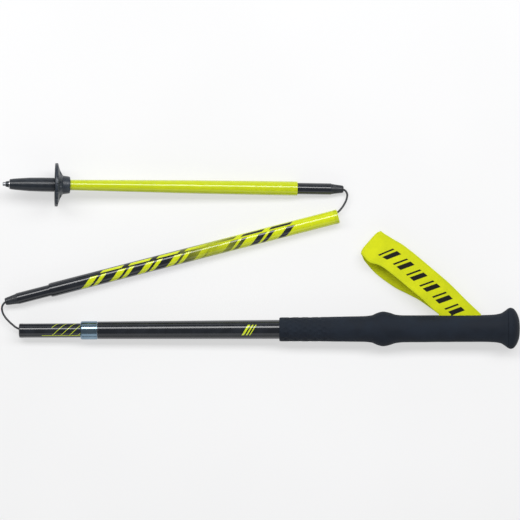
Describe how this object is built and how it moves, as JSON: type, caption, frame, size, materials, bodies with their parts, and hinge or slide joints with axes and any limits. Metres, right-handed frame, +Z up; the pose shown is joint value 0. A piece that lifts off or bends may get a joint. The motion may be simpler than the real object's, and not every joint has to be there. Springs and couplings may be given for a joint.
{
  "type": "folding trekking pole",
  "caption": "Three-section folding trekking pole with a telescoping grip section, wrist strap, small basket and metal tip, lying folded.",
  "frame": {"origin": "centre of the folded pole's box, on the surface that it lies on", "axes": "+X along the grip section towards the grip's end, +Y towards the tip section, +Z up from the surface"},
  "size_m": [0.5189, 0.1877, 0.0433],
  "materials": {
    "black_tube": "gloss black anodised",
    "lime_tube": "gloss lime paint",
    "bare_metal": "satin",
    "dark_plastic": "satin moulded",
    "grip_foam": "matte closed-cell foam",
    "lime_webbing": "woven",
    "collar_metal": "polished blue-grey anodised",
    "black_spigot": "gloss black anodised",
    "lime_socket": "gloss",
    "tip_plastic": "gloss moulded",
    "holder_metal": "satin",
    "tip_carbide": "sintered",
    "basket_plastic": "satin moulded",
    "cord": "coated cable"
  },
  "bodies": {
    "handle": {"upper_tube": "black_tube", "lock_ferrule": "bare_metal", "split_collet": "dark_plastic", "slider_stop_ring": "dark_plastic", "foam_grip": "grip_foam", "grip_end_cap": "grip_foam", "grip_core": "dark_plastic", "strap_pin": "bare_metal", "strap_tail": "lime_webbing"},
    "collar": {"lock_collar": "collar_metal"},
    "strap": {"strap_loop": "lime_webbing"},
    "slider": {"slider_tube": "black_tube", "slider_socket": "dark_plastic", "slider_guide": "dark_plastic", "cord_crimp_upper": "bare_metal", "cord_run_slider": "cord", "cord_link_lower": "cord"},
    "middle_section": {"middle_tube": "lime_tube", "middle_spigot": "black_spigot", "middle_nose": "dark_plastic", "middle_socket": "lime_socket", "cord_run_middle": "cord", "cord_link_upper": "cord"},
    "tip_section": {"tip_tube": "lime_tube", "tip_spigot": "black_spigot", "tip_nose": "dark_plastic", "cord_anchor_plug": "dark_plastic", "cord_crimp_lower": "bare_metal", "cord_run_tip": "cord", "tip_body": "tip_plastic", "tip_washer": "bare_metal", "tip_holder": "holder_metal", "hard_tip": "tip_carbide"},
    "basket": {"basket": "basket_plastic"}
  },
  "joints": [
    {"name": "slider_slide", "type": "slide", "parent": "handle", "child": "slider", "axis": [-0.9999, 0, -0.0136], "range_m": [0, 0.15]},
    {"name": "collar_twist", "type": "hinge", "parent": "handle", "child": "collar", "pos_m": [-0.17301, -0.07325, 0.00935], "axis": [0.9999, 0, 0.0136], "range_deg": [0, 120]},
    {"name": "strap_lift", "type": "hinge", "parent": "handle", "child": "strap", "pos_m": [0.19766, -0.05745, 0.01441], "axis": [0.9999, 0, 0.0136], "range_deg": [0, 100]},
    {"name": "fold_lower", "type": "hinge", "parent": "slider", "child": "middle_section", "pos_m": [-0.2598, -0.05939, 0.0075], "axis": [0, 0, 1], "range_deg": [-14, 165.88], "deforming": ["cord_link_lower"]},
    {"name": "fold_upper", "type": "hinge", "parent": "middle_section", "child": "tip_section", "pos_m": [0.0826, 0.05401, 0.006], "axis": [0, 0, -1], "range_deg": [-13, 164.76], "deforming": ["cord_link_upper"]},
    {"name": "basket_turn", "type": "hinge", "parent": "tip_section", "child": "basket", "pos_m": [-0.19821, 0.07208, 0.02128], "axis": [0.9981, -0.0195, -0.0581], "range_deg": [0, 180]}
  ]
}
